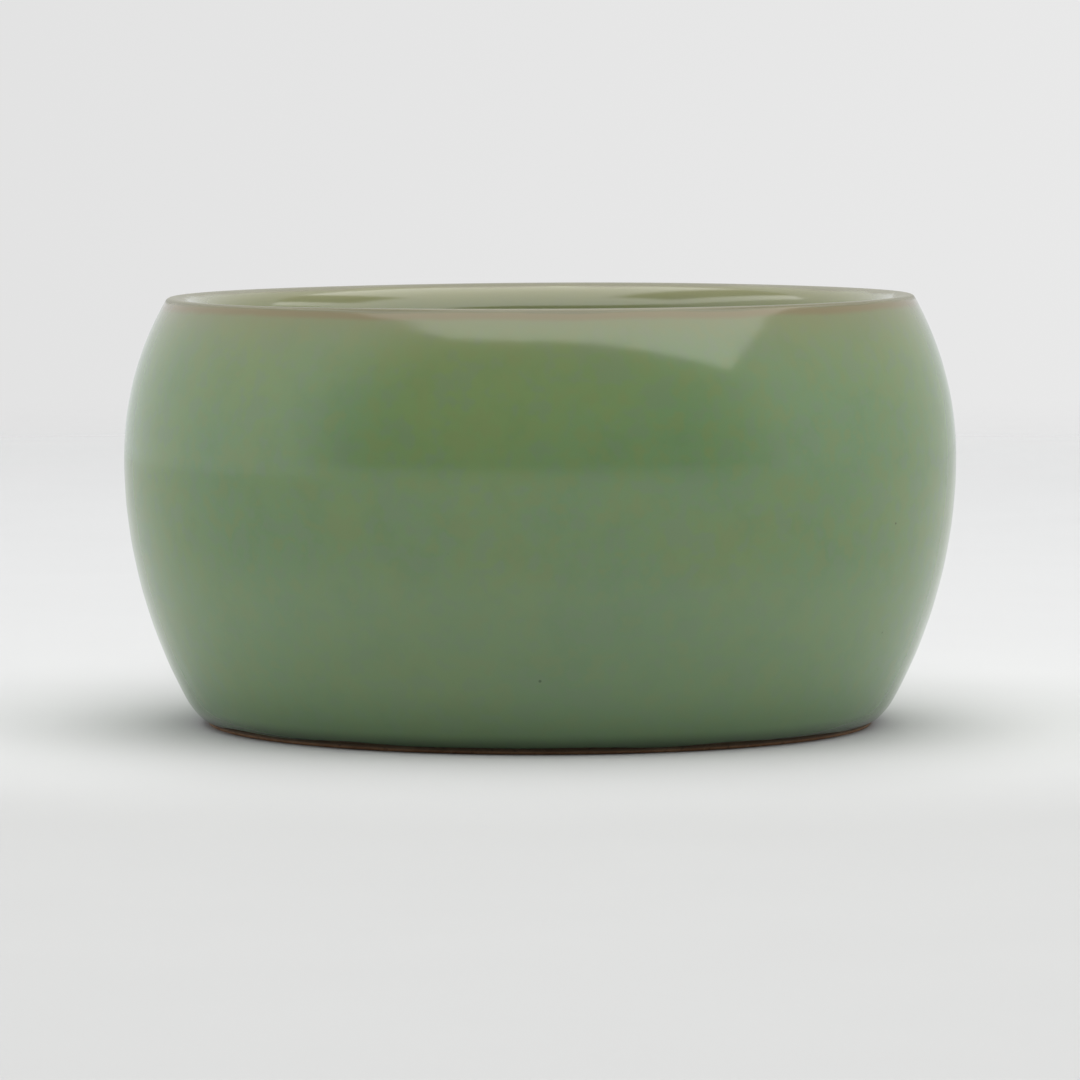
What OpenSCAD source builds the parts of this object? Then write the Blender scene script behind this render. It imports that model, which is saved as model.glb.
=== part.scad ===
// Tea bowl: a barrel-shaped clay body with an inturned lip and a low foot ring, under four coats of glaze.
// The bowl stands on z = 0, and every part is turned about the Z axis. Lengths are millimetres.

/* [Form] */
// Widest diameter, at the belly
belly_d = 120; // [118:0.5:126]
// Height of the widest line above the table
belly_z = 38.5; // [37:0.5:40]
// Overall height, up to the crest of the lip
height = 62; // [61:0.5:66]
// Diameter of the crest of the lip
mouth_d = 106.5; // [104:0.5:108]
// Radius of the outside curve below the belly
hip_r = 72.5; // [70:0.5:76]
// Radius where the outside tucks in above the foot
tuck_r = 8; // [6:0.5:9]

/* [Wall] */
// Radius of the lip's outer edge
lip_out_r = 0.8; // [0.6:0.1:1.2]
// Radius of the lip's broad inner side
lip_in_r = 5.5; // [4:0.1:6]
// Thickness of the wall at the belly, with its glaze
wall_t = 5; // [4.6:0.1:5.6]
// Radius of the inside curve below the belly
inner_hip_r = 66; // [62:0.5:70]
// Radius between the inside wall and the floor
inner_corner_r = 15; // [10:0.5:18]
// Height of the inside floor above the table, at its edge
floor_z = 8.4; // [7.8:0.1:9]
// Depth of the tea pool in the middle of the floor
pool_h = 0.8; // [0.2:0.1:1.2]

/* [Foot] */
// Outside diameter of the foot ring
foot_d = 96; // [95:0.2:97]
// Height of the bare clay on the outside of the foot ring
foot_h = 0.6; // [0.5:0.1:1.2]
// Inside diameter of the foot ring at the ceiling of the well
well_d = 83; // [76:0.5:85]
// Depth of the well inside the foot ring
well_h = 2.4; // [2:0.1:3]
// Radius between the well's side and its ceiling
well_fillet = 1.2; // [0.8:0.1:1.5]
// Slope of the well's side
well_slope = 14; // [8:1:20]
// Chamfer on both edges of the foot ring
foot_chamfer = 0.3; // [0.2:0.1:0.4]

/* [Glaze] */
// Thickness of the glaze on the wall and floor
glaze_t = 0.5; // [0.4:0.05:0.7]
// Thickness of the glaze at the crest of the lip, where it drained
lip_glaze_t = 0.15; // [0.1:0.05:0.3]
// Depth below the crest over which the glaze thickens
drain_h = 2.5; // [1.5:0.1:3.5]
// Thickness of the glaze in the foot well
well_glaze_t = 0.35; // [0.2:0.05:0.5]
// Depth below the crest that counts as the thin glaze of the lip
lip_h = 2.4; // [2:0.1:3]

/* [Hidden] */
$fn = 180;

// Length of a straight step along a curve
step = 2;
// Fewest steps on a small curve
min_steps = 8;

belly_r = belly_d / 2;
inner_belly_r = belly_r - wall_t;
foot_r = foot_d / 2;
crest_r = mouth_d / 2;

function direction(v) = atan2(v.y, v.x);
function polar(r, a) = r * [cos(a), sin(a)];

// Radius of a curve that is upright at (r, belly_z) and meets the lip's round of radius lip_r smoothly.
// side is -1 for the outside of the wall and 1 for the inside.
function shoulder_r(r, lip_c, lip_r, side) =
    let (d = lip_c - [r, belly_z])
    (d * d - lip_r * lip_r) / (2 * (side * lip_r - d.x));

// A surface is a list of stations [x, z, a], where a is the direction that the surface faces.
// face is 0 where the surface faces away from the curve's centre, and 180 where it faces the centre.
function curve(c, r, a0, a1, face) =
    let (n = max(min_steps, ceil(r * abs(a1 - a0) * PI / 180 / step)))
    [for (i = [0:n]) let (a = a0 + (a1 - a0) * i / n) [c.x + r * cos(a), c.y + r * sin(a), a + face]];

// The outside: the tuck above the foot, the hip, the shoulder, and the lip's tight edge up to the crest.
hip_c = [belly_r - hip_r, belly_z];
to_foot = [foot_r, foot_h] - hip_c;
tuck_a = direction(to_foot)
    + acos((to_foot * to_foot + pow(hip_r - tuck_r, 2) - pow(tuck_r, 2))
        / (2 * (hip_r - tuck_r) * norm(to_foot)));
tuck_c = hip_c + polar(hip_r - tuck_r, tuck_a);
foot_a = direction([foot_r, foot_h] - tuck_c);
lip_out_c = [crest_r, height - lip_out_r];
outer_r = shoulder_r(belly_r, lip_out_c, lip_out_r, -1);
outer_c = [belly_r - outer_r, belly_z];
lip_out_a = direction(lip_out_c - outer_c);
outside = concat(
    curve(tuck_c, tuck_r, foot_a, tuck_a, 0),
    tail(curve(hip_c, hip_r, tuck_a, 0, 0)),
    tail(curve(outer_c, outer_r, 0, lip_out_a, 0)),
    tail(curve(lip_out_c, lip_out_r, lip_out_a, 90, 0)));

// The inside: the lip's broad round, the shoulder, the hip, the corner, and the floor with its pool.
lip_in_c = [crest_r, height - lip_in_r];
inner_r = shoulder_r(inner_belly_r, lip_in_c, lip_in_r, 1);
inner_c = [inner_belly_r - inner_r, belly_z];
lip_in_a = direction(lip_in_c - inner_c);
inner_hip_c = [inner_belly_r - inner_hip_r, belly_z];
corner_a = asin((floor_z + inner_corner_r - belly_z) / (inner_hip_r - inner_corner_r));
corner_c = inner_hip_c + polar(inner_hip_r - inner_corner_r, corner_a);
floor_steps = ceil(corner_c.x / step);
floor_stations = [for (i = [floor_steps:-1:0])
    let (r = corner_c.x * i / floor_steps, turn = 180 * i / floor_steps,
        slope = pool_h * PI / 2 / corner_c.x * sin(turn))
    [r, floor_z - pool_h * (1 + cos(turn)) / 2, 90 + atan(slope)]];
inside = concat(
    curve(lip_in_c, lip_in_r, 90, 180 + lip_in_a, 0),
    tail(curve(inner_c, inner_r, lip_in_a, 0, 180)),
    tail(curve(inner_hip_c, inner_hip_r, 0, corner_a, 180)),
    tail(curve(corner_c, inner_corner_r, corner_a, -90, 180)),
    tail(floor_stations));

// The well under the foot, as bare clay, from the axis out to its sloping side.
well_c = [well_d / 2 - well_fillet, well_h - well_fillet];
well = concat([[0, well_h, -90]], curve(well_c, well_fillet, 90, well_slope, 180));

function tail(list) = [for (i = [1:len(list) - 1]) list[i]];
function last(list) = list[len(list) - 1];
function reversed(list) = [for (i = [len(list) - 1:-1:0]) list[i]];
function points(stations) = [for (s = stations) [s.x, s.y]];

// The points that lie t below a surface, or above it where t is negative.
function sunk(stations, t) = [for (s = stations) [s.x, s.y] - polar(t, s.z)];

// The clay under the glaze. The glaze is thin at the crest and thickens below it.
function glaze_at(z) = glaze_t - (glaze_t - lip_glaze_t) * exp(-(height - z) / drain_h);
function clay(stations) = [for (s = stations) [s.x, s.y] - polar(glaze_at(s.y), s.z)];

// The parts of a surface that belong to the wall and to the lip. The two share the station at the edge.
lip_z = height - lip_h;
n_below = len([for (s = outside) if (s.y <= lip_z) s]);
outside_wall = [for (i = [0:n_below - 1]) outside[i]];
outside_lip = [for (i = [n_below - 1:len(outside) - 1]) outside[i]];
n_above = len([for (s = inside) if (s.y > lip_z) s]);
inside_lip = [for (i = [0:n_above]) inside[i]];
inside_wall = [for (i = [n_above:len(inside) - 1]) inside[i]];
lip_surface = concat(outside_lip, tail(inside_lip));

module turned(outline) {
    rotate_extrude() polygon(outline);
}

// A coat of glaze between a surface and the clay beneath it.
module coat(stations) {
    turned(concat(points(stations), reversed(clay(stations))));
}

// The wall, floor and foot ring, turned from one lump. The ring is bare and stands on the table.
module clay_body() {
    ring_in = last(well).x + (last(well).y - foot_chamfer) * tan(well_slope);
    foot_ring = [
        [ring_in, foot_chamfer], [ring_in + foot_chamfer, 0],
        [foot_r - foot_chamfer, 0], [foot_r, foot_chamfer], [foot_r, foot_h]];
    color("peru")
        turned(concat(
            clay(outside_wall), clay(tail(lip_surface)), clay(tail(inside_wall)),
            points(well), foot_ring));
}

module outside_glaze() {
    color("darkseagreen") coat(outside_wall);
}

module lip_glaze() {
    color("tan") coat(lip_surface);
}

module inside_glaze() {
    color("darkseagreen") coat(inside_wall);
}

module foot_well_glaze() {
    color("darkseagreen")
        turned(concat(points(well), reversed(sunk(well, -well_glaze_t))));
}

clay_body();
outside_glaze();
lip_glaze();
inside_glaze();
foot_well_glaze();
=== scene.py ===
"""Matcha bowl: a turned stoneware body under four coats of celadon glaze. Lengths are metres, +Z is up.

Every shape is built on the section of the packed clay body, so it stays where the CAD model is.
"""
import math

import bmesh
import bpy
import numpy as np
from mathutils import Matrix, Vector


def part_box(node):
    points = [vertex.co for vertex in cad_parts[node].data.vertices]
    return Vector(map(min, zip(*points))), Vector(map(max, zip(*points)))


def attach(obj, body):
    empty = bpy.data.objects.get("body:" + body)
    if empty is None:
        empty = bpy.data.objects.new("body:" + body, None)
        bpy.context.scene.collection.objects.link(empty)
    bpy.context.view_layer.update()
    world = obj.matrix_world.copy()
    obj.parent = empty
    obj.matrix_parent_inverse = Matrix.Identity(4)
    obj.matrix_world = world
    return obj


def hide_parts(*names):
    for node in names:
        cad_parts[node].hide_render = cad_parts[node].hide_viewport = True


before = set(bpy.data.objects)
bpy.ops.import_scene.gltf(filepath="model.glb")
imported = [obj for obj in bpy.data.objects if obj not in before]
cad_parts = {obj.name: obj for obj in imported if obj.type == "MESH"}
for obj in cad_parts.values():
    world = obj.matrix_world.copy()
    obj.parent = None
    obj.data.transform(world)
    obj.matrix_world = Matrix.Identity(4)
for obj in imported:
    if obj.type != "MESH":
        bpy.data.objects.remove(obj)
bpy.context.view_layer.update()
MM = 0.001
TURN = 2 * math.pi

# Resolution of the meshes
AROUND = 320               # points round each ring
DENSE = 0.04 * MM          # spacing of the section's spline
SAME_RING = 5e-6           # CAD rings closer than this are one
CORNER = math.radians(28)  # a sharper turn of the section is an edge, not part of a curve
SOFTEN = 0.12 * MM         # length over which the section's corners are softened
CREASE = math.radians(40)  # a sharper turn between two faces is shaded as an edge
WALL_ROW = 0.62 * MM       # spacing of the rows on the outside
FLOOR_ROW = 0.6 * MM       # spacing of the rows inside, and in the foot well
LIP_ROW = 0.14 * MM        # spacing of the rows over the lip
SEAM_ROW = 0.12 * MM       # spacing of the inside's rows at the seam with the lip
EDGE_ROW = 0.07 * MM       # spacing of the rows at a free edge of glaze
ROW_REACH = 3 * MM         # distance from an end over which the rows widen to their full spacing
BACK_ROWS = 40             # about this many rows make the hidden back of a coat

# Glaze
DRAIN = 2.5 * MM           # depth below the crest over which the glaze thickens
WELL_GLAZE = 0.35 * MM     # thickness in the foot well
SINK = 0.06 * MM           # how far a coat's hidden back lies inside the clay
EDGE_ROUND = 0.45 * MM     # length over which a free edge of glaze rounds off
EDGE_SWELL = 0.3           # how much thicker the glaze rolls up just before a free edge
EDGE_ROLL = 1.3 * MM       # length of that roll
EDGE_PULL = 8              # the higher, the closer to a free edge its waves stay
UNEVEN = 0.1               # share of its thickness by which a coat is thinner in places
WELL_UNEVEN = 0.12         # the same in the foot well
SETTLE = 8 * MM            # distance from the axis over which that unevenness comes in

# The hand of the potter
SEED = 11
RIM_LEAN = 0.27 * MM       # the rim is this much lower at +Y and -Y than at +X, and twice that at -X
RIM_WAVE = 0.1 * MM        # half the range of the rim's waves, which only lower it
OVAL = 0.002               # share of its radius by which the rim is drawn in, out of round
RIDGE_IN, PITCH_IN = 0.045 * MM, 5.2 * MM    # height and spacing of the ridges inside
RIDGE_OUT, PITCH_OUT = 0.008 * MM, 6.1 * MM  # and outside

rng = np.random.default_rng(SEED)


# ---------------------------------------------------------------- the section

def cad_section(node):
    """The (radius, height) corners of a turned CAD node's section, in order from the inside floor out."""
    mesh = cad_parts[node].data
    co = np.array([v.co for v in mesh.vertices])
    keys = np.round(np.c_[np.hypot(co[:, 0], co[:, 1]), co[:, 2]] / SAME_RING)
    rings, ring_of = np.unique(keys, axis=0, return_inverse=True)
    gaps = np.abs(rings[:, None] - rings[None]).max(axis=2)
    ring_of = (gaps <= 1).argmax(axis=1)[ring_of.ravel()]
    links = ring_of[np.array([e.vertices[:] for e in mesh.edges])]
    links = {tuple(sorted(pair)) for pair in links.tolist() if pair[0] != pair[1]}
    beside = {}
    for a, b in links:
        beside.setdefault(a, []).append(b)
        beside.setdefault(b, []).append(a)
    ends = [ring for ring, near in beside.items() if len(near) == 1]
    here = max(ends, key=lambda ring: rings[ring][1])
    order = [here]
    while True:
        onward = [ring for ring in beside[order[-1]] if ring not in order]
        if not onward:
            return rings[order] * SAME_RING
        order.append(onward[0])


def spline(points, spacing):
    """Points at an even spacing on the natural cubic spline through points."""
    if len(points) == 2:
        knots = np.r_[0, np.linalg.norm(points[1] - points[0])]
        at = np.linspace(0, knots[1], max(2, round(knots[1] / spacing)))
        return np.c_[[np.interp(at, knots, column) for column in points.T]].T
    knots = np.r_[0, np.cumsum(np.linalg.norm(np.diff(points, axis=0), axis=1))]
    h = np.diff(knots)
    n = len(points)
    bend = np.eye(n)
    pull = np.zeros((n, 2))
    for i in range(1, n - 1):
        bend[i, i - 1:i + 2] = h[i - 1], 2 * (h[i - 1] + h[i]), h[i]
        pull[i] = 6 * ((points[i + 1] - points[i]) / h[i] - (points[i] - points[i - 1]) / h[i - 1])
    curve = np.linalg.solve(bend, pull)
    at = np.linspace(0, knots[-1], max(2, round(knots[-1] / spacing)))
    i = np.clip(np.searchsorted(knots, at) - 1, 0, n - 2)
    a = ((knots[i + 1] - at) / h[i])[:, None]
    b = 1 - a
    reach = (h[i] ** 2)[:, None] / 6
    bent = reach * ((a ** 3 - a) * curve[i] + (b ** 3 - b) * curve[i + 1])
    return a * points[i] + b * points[i + 1] + bent


class Section:
    """The clay's section as a smooth curve: place and outward direction at each length along it."""

    def __init__(self, corners, soften):
        step = np.diff(corners, axis=0)
        turn = np.diff(np.unwrap(np.arctan2(step[:, 1], step[:, 0])))
        edges = [0, *(np.flatnonzero(np.abs(turn) > CORNER) + 1), len(corners) - 1]
        runs = [spline(corners[a:b + 1], DENSE)[:-1] for a, b in zip(edges[:-1], edges[1:])]
        line = np.vstack([*runs, corners[-1]])
        width = max(1, round(soften / DENSE))
        kernel = np.hanning(2 * width + 1)
        padded = np.vstack([np.repeat(line[:1], width, axis=0), line, np.repeat(line[-1:], width, axis=0)])
        kernel /= kernel.sum()
        line = np.c_[[np.convolve(column, kernel, mode="valid") for column in padded.T]].T
        line[0] = corners[0]
        line[-1] = corners[-1]
        self.along = np.r_[0, np.cumsum(np.linalg.norm(np.diff(line, axis=0), axis=1))]
        self.line = line
        ahead = np.gradient(line, axis=0)
        ahead /= np.linalg.norm(ahead, axis=1)[:, None]
        self.out = np.c_[-ahead[:, 1], ahead[:, 0]]
        self.crest = self.along[line[:, 1].argmax()]
        self.length = self.along[-1]

    def at(self, s):
        """Radius, height, and the outward direction's two parts, at lengths s."""
        return [np.interp(s, self.along, column) for column in (*self.line.T, *self.out.T)]

    def where(self, z, after, rising):
        """The first length past `after` where the section crosses height z."""
        high = self.line[:, 1] >= z
        crossed = (high[1:] != high[:-1]) & (high[1:] == rising) & (self.along[1:] > after)
        return self.along[1:][crossed.argmax()]


section = Section(cad_section("clay_body"), SOFTEN)
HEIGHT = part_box("lip_glaze")[1].z
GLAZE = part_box("outside_glaze")[1].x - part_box("clay_body")[1].x
LIP_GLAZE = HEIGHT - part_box("clay_body")[1].z
seam_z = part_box("lip_glaze")[0].z
SEAM_IN = section.where(seam_z, 0, True)
SEAM_OUT = section.where(seam_z, section.crest, False)
FOOT_EDGE = section.where(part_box("outside_glaze")[0].z + GLAZE, SEAM_OUT, False)
WELL_EDGE = section.where(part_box("foot_well_glaze")[0].z, FOOT_EDGE, True)


# ---------------------------------------------------------------- the hand of the potter

def waves(count, lowest, highest):
    """Seeded terms of a ring function: whole numbers of waves, phases, and strengths that add up to 1."""
    strength = rng.uniform(0.5, 1, count)
    return rng.integers(lowest, highest + 1, count), rng.uniform(0, TURN, count), strength / strength.sum()


def ring_noise(theta, terms):
    """A smooth function of the angle round the bowl, within -1 to 1."""
    number, phase, strength = terms
    return sum(a * np.cos(n * theta + p) for n, p, a in zip(number, phase, strength))


def smoothstep(low, high, x):
    t = np.clip((x - low) / (high - low), 0, 1)
    return t * t * (3 - 2 * t)


OUT_OF_ROUND = waves(3, 2, 3)
RIM_SWAY = waves(3, 2, 5)
FOOT_WAVE = waves(9, 3, 17)
WELL_WAVE = waves(7, 2, 12)
PATCHES = [(waves(4, 1, 9), rng.uniform(0, TURN), rng.uniform(2, 6)) for _ in range(8)]


def throwing_rings(s, theta):
    """Height of the spiral ridges left by the fingers. Outside they are faint and only go inwards."""
    inside = smoothstep(SEAM_IN, SEAM_IN - 8 * MM, s) * smoothstep(2 * MM, 9 * MM, s)
    outside = smoothstep(SEAM_OUT, SEAM_OUT + 10 * MM, s) * smoothstep(FOOT_EDGE, FOOT_EDGE - 9 * MM, s)
    spiral_in = np.cos(TURN * s / PITCH_IN - theta)
    spiral_out = np.cos(TURN * s / PITCH_OUT + theta + 0.7)
    return RIDGE_IN * inside * spiral_in + RIDGE_OUT * outside * (spiral_out - 1)


def uneven(s, theta):
    """Slow unevenness of the glaze's thickness, within -1 to 0, so that it only thins the coat."""
    total = sum(ring_noise(theta, terms) * np.cos(TURN * s / section.length * rate + phase)
                for terms, phase, rate in PATCHES)
    return np.clip(total / 3, -1, 1) / 2 - 0.5


def place(s, theta, depth):
    """The point at length s along the section and angle theta, `depth` above the clay.

    The ridges, the oval and the lean of the thrown bowl are put in here.
    """
    r, z, out_r, out_z = section.at(s)
    depth = depth + throwing_rings(s, theta)
    r = np.maximum(r + depth * out_r, 0)
    z = z + depth * out_z
    up = np.clip(z / HEIGHT, 0, 1)
    r = r * (1 + OVAL * up * (ring_noise(theta, OUT_OF_ROUND) - 1))
    z = z + up ** 4 * (RIM_LEAN * (np.cos(theta) - 1) + RIM_WAVE * (ring_noise(theta, RIM_SWAY) - 1))
    return np.stack([r * np.cos(theta), r * np.sin(theta), np.maximum(z, 0)], axis=-1)


# ---------------------------------------------------------------- meshes

THETA = np.arange(AROUND) * TURN / AROUND


def rows_between(s0, s1, step, fine=None, reach=None):
    """Lengths from s0 to s1, `step` apart. Within `reach` of both ends they close up to `fine`."""
    at, s = [s0], s0
    way = math.copysign(1, s1 - s0)
    while (s1 - s) * way > 1e-9:
        size = step
        if fine:
            near = min(abs(s - s0), abs(s1 - s))
            size = fine + (step - fine) * min(1, near / reach)
        s += way * size
        at.append(s)
    at[-1] = s1
    return np.array(at)


def revolve(name, lengths, depths, closed):
    """A turned mesh from rows of points, one row for each of the lengths.

    If it is closed, its last row joins its first. If not, those two lie on the axis and become points.
    """
    grid = place(lengths, THETA[None, :], depths)
    count = len(grid)
    verts = grid.reshape(-1, 3).tolist()
    ring = [[i * AROUND + j for j in range(AROUND)] for i in range(count)]
    faces = []
    pairs = [(i, i + 1) for i in range(count - 1)]
    if closed:
        pairs.append((count - 1, 0))
    else:
        pairs = pairs[1:-1]
        for row, beside, flip in ((0, 1, False), (count - 1, count - 2, True)):
            pole = len(verts)
            verts.append([0, 0, float(grid[row, :, 2].mean())])
            for j in range(AROUND):
                a, b = ring[beside][j], ring[beside][(j + 1) % AROUND]
                faces.append((pole, b, a) if flip else (pole, a, b))
    for i, k in pairs:
        for j in range(AROUND):
            m = (j + 1) % AROUND
            faces.append((ring[i][j], ring[k][j], ring[k][m], ring[i][m]))
    mesh = bpy.data.meshes.new(name)
    mesh.from_pydata(verts, [], faces)
    mesh.validate()
    mesh.update()
    piece = bpy.data.objects.new(name, mesh)
    bpy.context.scene.collection.objects.link(piece)
    tidy_mesh(mesh)
    return piece


def tidy_mesh(mesh):
    """Drops points that no face uses, turns all faces outwards, and shades all but sharp edges smooth."""
    work = bmesh.new()
    work.from_mesh(mesh)
    bmesh.ops.delete(work, geom=[v for v in work.verts if not v.link_faces], context="VERTS")
    bmesh.ops.recalc_face_normals(work, faces=work.faces)
    for face in work.faces:
        face.smooth = True
    for edge in work.edges:
        edge.smooth = edge.calc_face_angle(0) < CREASE
    work.to_mesh(mesh)
    work.free()
    mesh.update()


def coat_depth(lengths):
    """Thickness of a coat that drained: thin at the crest of the lip, full below."""
    z = section.at(lengths)[1]
    return GLAZE - (GLAZE - LIP_GLAZE) * np.exp(-(HEIGHT - z) / DRAIN)


def free_edge(left):
    """How a coat's thickness changes where `left` of its length is left: a low roll, then a round end."""
    rounded = np.sqrt(1 - (1 - np.clip(left / EDGE_ROUND, 0, 1)) ** 2)
    return rounded * (1 + EDGE_SWELL * np.exp(-(left / EDGE_ROLL) ** 2))


def close_behind(lengths, depths):
    """Adds a coat's hidden back, a little way into the clay, from its last row to its first."""
    skip = max(1, round(len(lengths) / BACK_ROWS))
    pick = np.unique(np.r_[np.arange(len(lengths) - 1, -1, -skip), 0])[::-1]
    back = lengths[pick]
    return np.vstack([lengths, back]), np.vstack([depths, np.full_like(back, -SINK)])


def make_clay_body():
    """The clay, in fine rows at the bare foot ring, where fine turning grooves show."""
    hidden, lip, ring = 1.2 * MM, 0.4 * MM, 0.09 * MM
    stops = [0, SEAM_IN - 2 * MM, SEAM_OUT + 2 * MM,
             FOOT_EDGE - 2 * MM, WELL_EDGE + 1 * MM, section.length]
    spacings = [hidden, lip, hidden, ring, hidden]
    parts = [rows_between(*part) for part in zip(stops[:-1], stops[1:], spacings)]
    s = np.unique(np.concatenate(parts))
    lengths = np.repeat(s[:, None], AROUND, axis=1)
    bare = smoothstep(FOOT_EDGE - 1 * MM, FOOT_EDGE, s) * smoothstep(WELL_EDGE + 1 * MM, WELL_EDGE, s)
    grooves = 0.015 * MM * np.sin(TURN * s / (0.62 * MM)) + 0.01 * MM * np.sin(TURN * s / (0.23 * MM))
    depths = (bare * (grooves - 0.02 * MM))[:, None] * np.ones(AROUND)
    return revolve("clay_body_stoneware", lengths, depths, closed=False)


def make_outside_glaze():
    """The outside coat. Its lower edge waves along the foot ring."""
    s = rows_between(SEAM_OUT, FOOT_EDGE, WALL_ROW, EDGE_ROW, ROW_REACH)
    edge = 0.7 * MM * ring_noise(THETA, FOOT_WAVE) - 0.3 * MM
    share = (s - SEAM_OUT) / (FOOT_EDGE - SEAM_OUT)
    lengths = s[:, None] + share[:, None] ** EDGE_PULL * edge[None, :]
    depths = coat_depth(lengths) * (1 + UNEVEN * uneven(lengths, THETA[None, :]))
    depths = depths * free_edge(FOOT_EDGE + edge[None, :] - lengths)
    return revolve("outside_celadon_coat", *close_behind(lengths, depths), closed=True)


def make_lip_glaze():
    """The coat over the lip, which joins the other two at its seams."""
    s = rows_between(SEAM_IN, SEAM_OUT, LIP_ROW)
    lengths = np.repeat(s[:, None], AROUND, axis=1)
    depths = coat_depth(lengths) * (1 + UNEVEN * uneven(lengths, THETA[None, :]))
    return revolve("lip_thin_coat", *close_behind(lengths, depths), closed=True)


def make_inside_glaze():
    """The inside coat, over the wall and the floor."""
    s = rows_between(0, SEAM_IN, FLOOR_ROW, SEAM_ROW, ROW_REACH)
    lengths = np.repeat(s[:, None], AROUND, axis=1)
    settle = smoothstep(0, SETTLE, s)[:, None]
    depths = coat_depth(lengths) * (1 + UNEVEN * settle * uneven(lengths, THETA[None, :]))
    return revolve("inside_celadon_coat", *close_behind(lengths, depths), closed=False)


def make_well_glaze():
    """The coat in the foot well. Its outer edge waves along the foot ring's inner side."""
    s = rows_between(section.length, WELL_EDGE, FLOOR_ROW, EDGE_ROW, ROW_REACH)
    edge = 0.3 * MM + 0.5 * MM * ring_noise(THETA, WELL_WAVE)
    share = (section.length - s) / (section.length - WELL_EDGE)
    lengths = s[:, None] + share[:, None] ** EDGE_PULL * edge[None, :]
    settle = smoothstep(0, SETTLE, section.length - s)[:, None]
    depths = WELL_GLAZE * (1 + WELL_UNEVEN * settle * uneven(lengths, THETA[None, :]))
    depths = depths * free_edge(lengths - WELL_EDGE - edge[None, :])
    return revolve("foot_well_celadon_coat", *close_behind(lengths, depths), closed=False)


# ---------------------------------------------------------------- materials

class Nodes:
    """A short way to write a material's nodes."""

    def __init__(self, name):
        self.material = bpy.data.materials.new(name)
        self.material.use_nodes = True
        self.tree = self.material.node_tree
        self.tree.nodes.clear()
        self.place = self.add("ShaderNodeTexCoord").outputs["Object"]

    def add(self, kind, **settings):
        node = self.tree.nodes.new(kind)
        for key, value in settings.items():
            setattr(node, key, value)
        return node

    def set(self, socket, value):
        """Links a socket to another node's output, or gives it a value. None leaves it as it is."""
        if isinstance(value, bpy.types.NodeSocket):
            self.tree.links.new(value, socket)
        elif value is not None:
            socket.default_value = value

    def math(self, operation, a, b=None):
        node = self.add("ShaderNodeMath", operation=operation)
        for socket, value in zip(node.inputs, (a, b)):
            self.set(socket, value)
        return node.outputs[0]

    def vector(self, operation, a, b=None):
        node = self.add("ShaderNodeVectorMath", operation=operation)
        for socket, value in zip(node.inputs, (a, b)):
            self.set(socket, value)
        return node.outputs["Value" if operation in ("LENGTH", "DISTANCE") else "Vector"]

    def axes(self):
        """The X, Y and Z of each point of the surface."""
        node = self.add("ShaderNodeSeparateXYZ")
        self.set(node.inputs[0], self.place)
        return node.outputs

    def step(self, low, high, value):
        """0 where value is low, 1 where it is high, smooth between."""
        node = self.add("ShaderNodeMapRange", interpolation_type="SMOOTHSTEP")
        for key, number in (("Value", value), ("From Min", low), ("From Max", high)):
            self.set(node.inputs[key], number)
        return node.outputs["Result"]

    def mix(self, share, a, b):
        node = self.add("ShaderNodeMix", data_type="RGBA")
        self.set(node.inputs["Factor"], share)
        self.set(node.inputs["A"], a)
        self.set(node.inputs["B"], b)
        return node.outputs["Result"]

    def tint(self, colour, other, mask, most):
        """The colour, with up to `most` of the other one where the mask is 1."""
        return self.mix(self.math("MULTIPLY", mask, most), colour, other)

    def noise(self, scale, detail=2.0, rough=0.5):
        node = self.add("ShaderNodeTexNoise")
        self.set(node.inputs["Vector"], self.place)
        node.inputs["Scale"].default_value = scale
        node.inputs["Detail"].default_value = detail
        node.inputs["Roughness"].default_value = rough
        return node.outputs["Fac"]

    def bump(self, height, distance, strength, below=None):
        node = self.add("ShaderNodeBump")
        self.set(node.inputs["Height"], height)
        node.inputs["Distance"].default_value = distance
        node.inputs["Strength"].default_value = strength
        self.set(node.inputs["Normal"], below)
        return node.outputs["Normal"]

    def finish(self, **sockets):
        shader = self.add("ShaderNodeBsdfPrincipled")
        for name, value in sockets.items():
            self.set(shader.inputs[name.replace("_", " ")], value)
        output = self.add("ShaderNodeOutputMaterial")
        self.tree.links.new(shader.outputs[0], output.inputs["Surface"])
        return self.material


YELLOW_GREEN = (0.172, 0.268, 0.100, 1)
BLUE_GREEN = (0.151, 0.260, 0.113, 1)
DEEP_GREEN = (0.100, 0.186, 0.080, 1)
FOOT_SHADE_AND_PINHOLE = (0.035, 0.060, 0.026, 1)
FLOOR_LIT_PALE = (0.200, 0.300, 0.165, 1)
THIN = (0.218, 0.212, 0.104, 1)
OLIVE = (0.186, 0.252, 0.096, 1)
GREY_GREEN = (0.162, 0.238, 0.132, 1)
BROWN = (0.215, 0.168, 0.080, 1)
CREST = (0.152, 0.140, 0.072, 1)
SPECK = (0.05, 0.03, 0.015, 1)
GLAZE_IOR = 1.58
EULER = 2.718
PINHOLE = place(section.where(11 * MM, SEAM_OUT, False), -TURN / 4, GLAZE)  # at the front, low down


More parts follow.
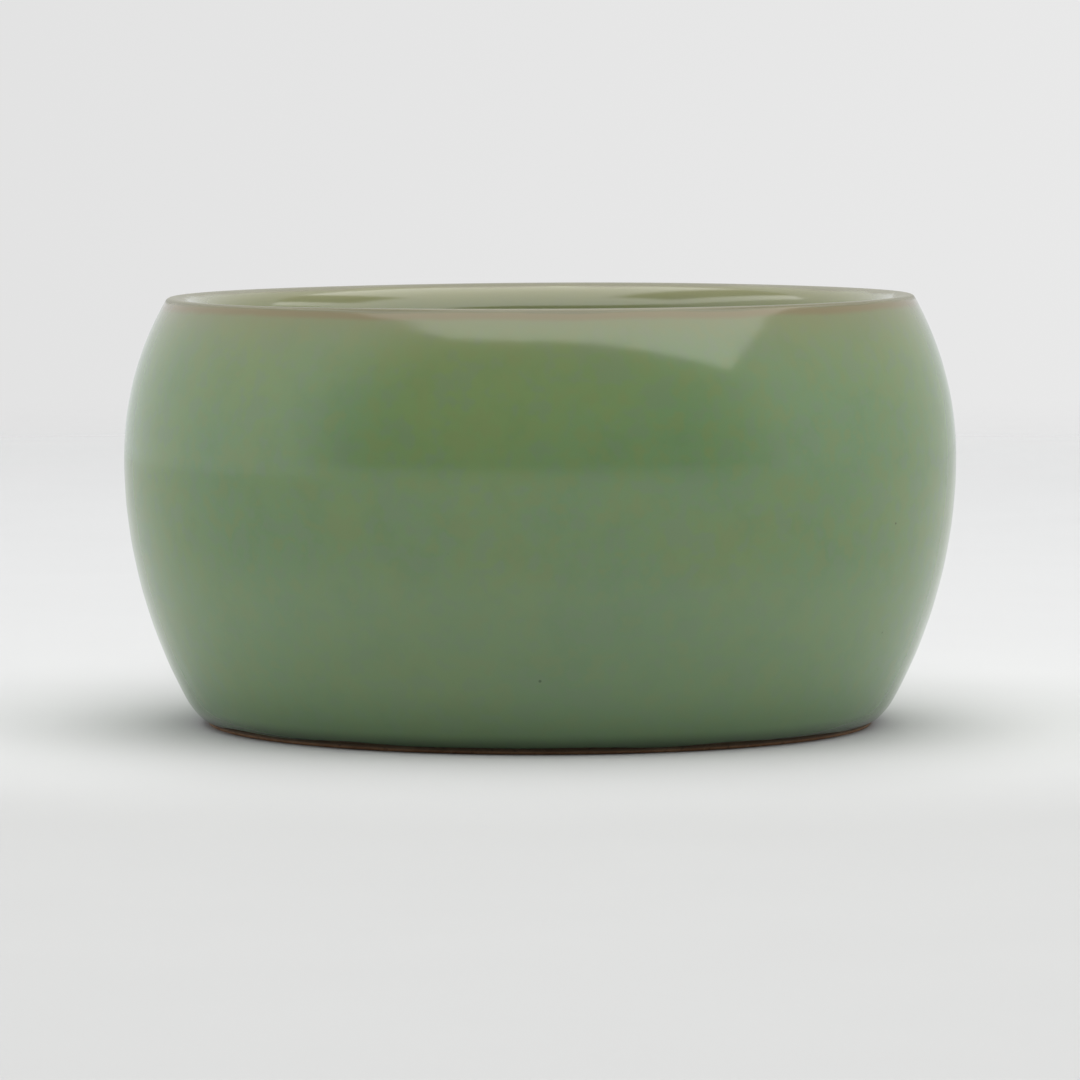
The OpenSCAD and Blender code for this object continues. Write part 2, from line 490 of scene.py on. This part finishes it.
def celadon(name):
    """Glossy celadon: clay shows through where it is thin, at the lip. Painted light pales it inside the
    lip and on the lower body, and painted shade darkens it towards the foot.
    """
    m = Nodes(name)
    at = m.axes()
    z = at["Z"]

    # Slow drifts of the green and a finer mottle, then painted light and painted shade low down
    drift = m.noise(45, 3, 0.55)
    cloud = m.noise(170, 3, 0.6)
    mottle = m.noise(330, 2, 0.55)
    grain = m.noise(1400, 2, 0.6)
    colour = m.mix(m.step(0.35, 0.65, drift), YELLOW_GREEN, BLUE_GREEN)
    colour = m.tint(colour, DEEP_GREEN, m.step(0.45, 0.7, cloud), 0.16)
    colour = m.tint(colour, OLIVE, m.step(0.5, 0.66, mottle), 0.55)
    colour = m.tint(colour, GREY_GREEN, m.step(0.5, 0.36, mottle), 0.55)
    colour = m.tint(colour, THIN, m.step(0.5, 0.75, grain), 0.12)
    # Paler on the lower body: painted light and painted reflection from the pale floor
    colour = m.tint(colour, FLOOR_LIT_PALE, m.step(30 * MM, 20 * MM, z), 0.3)
    # Darker low down and nearly black at the very bottom: painted shade of the floor's contact shadow
    # under the tuck
    colour = m.tint(colour, DEEP_GREEN, m.step(10 * MM, 1.5 * MM, z), 0.55)
    colour = m.tint(colour, FOOT_SHADE_AND_PINHOLE, m.step(3.2 * MM, 0.6 * MM, z), 0.85)

    # Depth below the crest, a little uneven. Inside the lip the pale colour of thin glaze fades out over a
    # longer depth: painted light on the shaded inner wall.
    radius = m.vector("LENGTH", m.vector("MULTIPLY", m.place, (1, 1, 0)))
    inside = m.step(53 * MM, 51 * MM, radius)
    sway = m.math("MULTIPLY", m.math("SUBTRACT", m.noise(60, 3, 0.6), 0.5), 1.2 * MM)
    east = m.math("DIVIDE", at["X"], radius)
    crest = m.math("ADD", HEIGHT - RIM_LEAN - RIM_WAVE, m.math("MULTIPLY", east, RIM_LEAN))
    depth = m.math("ADD", m.math("SUBTRACT", crest, z), sway)
    reach = m.math("ADD", 5 * MM, m.math("MULTIPLY", inside, 7 * MM))
    drained = m.math("DIVIDE", m.math("MAXIMUM", depth, 0), reach)
    thin = m.math("POWER", EULER, m.math("MULTIPLY", drained, -1.0))
    colour = m.mix(thin, colour, THIN)

    # A brown band just below the crest on the outside, and the worn crest itself
    band = m.math("MULTIPLY", m.step(0.2 * MM, 0.7 * MM, depth), m.step(1.8 * MM, 1.0 * MM, depth))
    outside = m.math("SUBTRACT", 1.0, inside)
    colour = m.tint(colour, BROWN, m.math("MULTIPLY", band, outside), 0.8)
    worn = m.step(0.7 * MM, 0.2 * MM, depth)
    colour = m.tint(colour, CREST, worn, 0.8)

    # Dark specks in a few of the cells of a fine cell pattern, and the pinhole
    spots = m.add("ShaderNodeTexVoronoi", feature="F1")
    m.set(spots.inputs["Vector"], m.place)
    spots.inputs["Scale"].default_value = 190
    chosen = m.step(0.86, 0.87, m.math("FRACT", m.math("MULTIPLY", spots.outputs["Color"], 7.0)))
    speck = m.math("MULTIPLY", m.step(0.045, 0.02, spots.outputs["Distance"]), chosen)
    colour = m.tint(colour, SPECK, speck, 0.7)
    pinhole = m.step(0.3 * MM, 0.1 * MM, m.vector("DISTANCE", m.place, PINHOLE))
    colour = m.tint(colour, FOOT_SHADE_AND_PINHOLE, pinhole, 0.6)

    gloss = m.math("ADD", 0.09, m.math("MULTIPLY", cloud, 0.06))
    gloss = m.math("ADD", gloss, m.math("MULTIPLY", worn, 0.2))
    normal = m.bump(m.noise(420, 2, 0.5), 0.012 * MM, 0.5)
    normal = m.bump(grain, 0.003 * MM, 0.35, normal)
    return m.finish(Base_Color=colour, Roughness=gloss, Normal=normal, IOR=GLAZE_IOR)


TOASTED = (0.25, 0.125, 0.060, 1)
SANDY = (0.36, 0.205, 0.110, 1)
GROG = (0.5, 0.38, 0.26, 1)
PIT = (0.07, 0.035, 0.02, 1)
TUCK_SHADE = (0.050, 0.045, 0.028, 1)


def bare_clay(name):
    """Unglazed stoneware, toasted by the kiln, with pale grog in it. Painted shade darkens its pits, and
    all of it above its lowest half millimetre, under the glaze's tucked edge.
    """
    m = Nodes(name)
    toast = m.noise(120, 3, 0.6)
    grog = m.noise(2600, 2, 0.7)
    pits = m.noise(900, 3, 0.65)
    colour = m.mix(m.step(0.35, 0.65, toast), TOASTED, SANDY)
    colour = m.tint(colour, GROG, m.step(0.62, 0.72, grog), 0.5)
    # Darker in the pits of its bump: painted shade in the recesses
    colour = m.tint(colour, PIT, m.step(0.42, 0.3, pits), 0.6)
    # Painted shade: darker above its lowest half millimetre, where the tucked glaze edge shades it
    tuck_shade_mask = m.step(0.3 * MM, 0.55 * MM, m.axes()["Z"])
    colour = m.tint(colour, TUCK_SHADE, tuck_shade_mask, 0.7)
    rough = m.math("ADD", 0.7, m.math("MULTIPLY", grog, 0.2))
    normal = m.bump(pits, 0.05 * MM, 0.7)
    normal = m.bump(grog, 0.02 * MM, 0.6, normal)
    return m.finish(Base_Color=colour, Roughness=rough, Normal=normal, IOR=1.45)


# ---------------------------------------------------------------- the bowl

PIECES = [
    (make_clay_body, "clay_body", "bare_clay", bare_clay),
    (make_outside_glaze, "outside_glaze", "celadon_glaze", celadon),
    (make_lip_glaze, "lip_glaze", "thin_lip_glaze", celadon),
    (make_inside_glaze, "inside_glaze", "celadon_glaze", celadon),
    (make_well_glaze, "foot_well_glaze", "celadon_glaze", celadon),
]
for make, node, slot, material in PIECES:
    piece = make()
    piece.data.materials.append(material(node + "_look"))
    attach(piece, "root")
    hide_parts(node)


# ---------------------------------------------------------------- floor, light and camera

FLOOR_R = 0.95                      # the floor's radius
FLOOR_FADE = 0.45                   # radius from which it fades away
FLOOR_RINGS, FLOOR_SIDES = 24, 96
# Painted light on the floor: darker in front of the bowl, paler behind it
FRONT_TONE = (0.525, 0.525, 0.517, 1)
BACK_TONE = (0.61, 0.61, 0.605, 1)
# Painted light: the floor is paler close to the bowl, most to its left and right, so the bowl's shadow is
# weaker
NEAR_TONE = (0.585, 0.585, 0.58, 1)   # close to the bowl, in line with its middle
SIDE_TONE = (0.65, 0.65, 0.645, 1)    # close to the bowl, to the left and right
CLOUD_TONE = (0.3, 0.3, 0.3, 1)


def make_floor():
    """A pale floor that fades into the background at its rim. Painted light makes it darker in front and
    paler behind, and paler close to the bowl where its shadow falls.
    """
    radii = np.linspace(0, FLOOR_R, FLOOR_RINGS + 1)[1:]
    angle = np.arange(FLOOR_SIDES) * TURN / FLOOR_SIDES
    verts = [(0, 0, 0)]
    verts += [(r * math.cos(a), r * math.sin(a), 0) for r in radii for a in angle]
    faces = [(0, 1 + j, 1 + (j + 1) % FLOOR_SIDES) for j in range(FLOOR_SIDES)]
    for i in range(FLOOR_RINGS - 1):
        for j in range(FLOOR_SIDES):
            a, b = 1 + i * FLOOR_SIDES, 1 + (i + 1) * FLOOR_SIDES
            k = (j + 1) % FLOOR_SIDES
            faces.append((a + j, b + j, b + k, a + k))
    mesh = bpy.data.meshes.new("floor")
    mesh.from_pydata(verts, [], faces)
    floor = bpy.data.objects.new("floor", mesh)
    bpy.context.scene.collection.objects.link(floor)
    m = Nodes("floor_paper")
    away = m.vector("LENGTH", m.place)
    at = m.axes()
    # Painted light: darker in front, paler behind
    tone = m.mix(m.step(-0.12, 0.1, at["Y"]), FRONT_TONE, BACK_TONE)
    # Painted light: paler close to the bowl, most to its sides, so its shadow is weaker
    near = m.mix(m.step(0.03, 0.08, m.math("ABSOLUTE", at["X"])), NEAR_TONE, SIDE_TONE)
    tone = m.mix(m.step(0.15, 0.07, away), tone, near)
    tone = m.tint(tone, CLOUD_TONE, m.noise(30), 0.06)
    fade = m.step(FLOOR_R, FLOOR_FADE, away)
    m.finish(Base_Color=tone, Roughness=0.9, Alpha=fade, Specular_IOR_Level=0.2)
    mesh.materials.append(m.material)


ROOM_TINT = (0.98, 1, 1.03, 1)
ROOM_LIGHT = 0.95
LESS_EAST, LESS_BEHIND = 0.1, 0.12  # how much weaker the room's light is towards +X and +Y
DARK_FRONT, DARKER_ABOVE = 0.45, 0.45  # share lost on the camera's side, and lost besides above the table
BACKDROP, BACKDROP_EAST = 0.79, 0.28   # what the camera sees, and how much paler that is towards +X


def make_world():
    """Pale for the camera. For reflections and light: a pale room whose camera side is dark."""
    world = bpy.data.worlds.new("studio")
    bpy.context.scene.world = world
    world.use_nodes = True
    tree = world.node_tree
    tree.nodes.clear()

    def add(kind, **settings):
        node = tree.nodes.new(kind)
        for key, value in settings.items():
            setattr(node, key, value)
        return node

    def put(socket, value):
        if isinstance(value, bpy.types.NodeSocket):
            tree.links.new(value, socket)
        else:
            socket.default_value = value

    def maths(operation, *values):
        node = add("ShaderNodeMath", operation=operation)
        for socket, value in zip(node.inputs, values):
            put(socket, value)
        return node.outputs[0]

    def step(low, high, value):
        node = add("ShaderNodeMapRange", interpolation_type="SMOOTHSTEP")
        for key, number in (("Value", value), ("From Min", low), ("From Max", high)):
            put(node.inputs[key], number)
        return node.outputs["Result"]

    way = add("ShaderNodeSeparateXYZ")
    put(way.inputs[0], add("ShaderNodeTexCoord").outputs["Generated"])
    behind = maths("MAXIMUM", way.outputs["Y"], 0.0)
    walls = maths("SUBTRACT", ROOM_LIGHT, maths("MULTIPLY", way.outputs["X"], LESS_EAST))
    walls = maths("SUBTRACT", walls, maths("MULTIPLY", behind, LESS_BEHIND))
    front = step(0.2, 0.75, maths("MULTIPLY", way.outputs["Y"], -1.0))
    above_table = step(-0.01, 0.04, way.outputs["Z"])
    loss = maths("ADD", DARK_FRONT, maths("MULTIPLY", above_table, DARKER_ABOVE))
    shade = maths("MULTIPLY", front, loss)
    room = maths("MULTIPLY", walls, maths("SUBTRACT", 1.0, shade))
    lit = add("ShaderNodeBackground")
    lit.inputs["Color"].default_value = ROOM_TINT
    put(lit.inputs["Strength"], room)
    seen = add("ShaderNodeBackground")
    seen.inputs["Color"].default_value = (1, 1, 1, 1)
    paler = maths("MULTIPLY", way.outputs["X"], BACKDROP_EAST)
    put(seen.inputs["Strength"], maths("ADD", BACKDROP, paler))
    choose = add("ShaderNodeMixShader")
    put(choose.inputs["Fac"], add("ShaderNodeLightPath").outputs["Is Camera Ray"])
    put(choose.inputs[1], lit.outputs[0])
    put(choose.inputs[2], seen.outputs[0])
    put(add("ShaderNodeOutputWorld").inputs["Surface"], choose.outputs[0])


SOFTBOX_ABOVE = 1                   # height of the softbox above the rim
SOFTBOX_GLOW = 2.55
SOFTBOX_OUTLINE = [
    (-0.85, 0.9), (-0.9, 0), (-0.87, -0.45), (-0.76, -0.6), (-0.66, -0.76), (-0.54, -0.89), (-0.36, -0.97),
    (-0.12, -1.02), (0.9, -1.02), (1.52, -0.92), (1.38, -0.55), (1.3, -0.35), (1.24, 0), (1.1, 0.9)]
BARS = ((-0.45, 0.16, -0.3), (0.65, 0.2, -0.05))   # X of the middle, half the width, Y of the front end
BAR_DARKNESS = 0.85


def make_softbox():
    """A wide soft light overhead, with its front left corner rounded and two dark bars towards its back.

    The glaze mirrors the corner below the rim, and the bars in the far side of the lip.
    """
    mesh = bpy.data.meshes.new("overhead_softbox")
    corners = [(x, y, HEIGHT + SOFTBOX_ABOVE) for x, y in SOFTBOX_OUTLINE]
    mesh.from_pydata(corners, [], [range(len(corners))])
    softbox = bpy.data.objects.new("overhead_softbox", mesh)
    softbox.visible_camera = False
    bpy.context.scene.collection.objects.link(softbox)
    m = Nodes("softbox_glow")
    at = m.axes()
    bars = 0.0
    for middle, half, start in BARS:
        off = m.math("ABSOLUTE", m.math("SUBTRACT", at["X"], middle))
        across = m.step(half + 0.05, half - 0.05, off)
        back = m.step(start, start + 0.2, at["Y"])
        bars = m.math("ADD", bars, m.math("MULTIPLY", across, back))
    share = m.math("SUBTRACT", 1.0, m.math("MULTIPLY", bars, BAR_DARKNESS))
    glow = m.add("ShaderNodeEmission")
    m.set(glow.inputs["Strength"], m.math("MULTIPLY", SOFTBOX_GLOW, share))
    m.set(m.add("ShaderNodeOutputMaterial").inputs["Surface"], glow.outputs[0])
    mesh.materials.append(m.material)


LENS, SENSOR = 230.6, 36            # millimetres
EYE = (0, -0.9966, 0.097)           # found from the curves of the rim and the base in the photograph
AIM = Vector((0, 0, 0.0263))


def make_camera():
    """The photograph's view, from about a metre away and slightly above."""
    camera = bpy.data.cameras.new("camera")
    camera.sensor_width = SENSOR
    camera.lens = LENS
    eye = bpy.data.objects.new("camera", camera)
    eye.location = EYE
    eye.rotation_euler = (AIM - eye.location).to_track_quat("-Z", "Y").to_euler()
    bpy.context.scene.collection.objects.link(eye)
    bpy.context.scene.camera = eye


make_floor()
make_world()
make_softbox()
make_camera()
bpy.context.scene.view_settings.view_transform = "Standard"
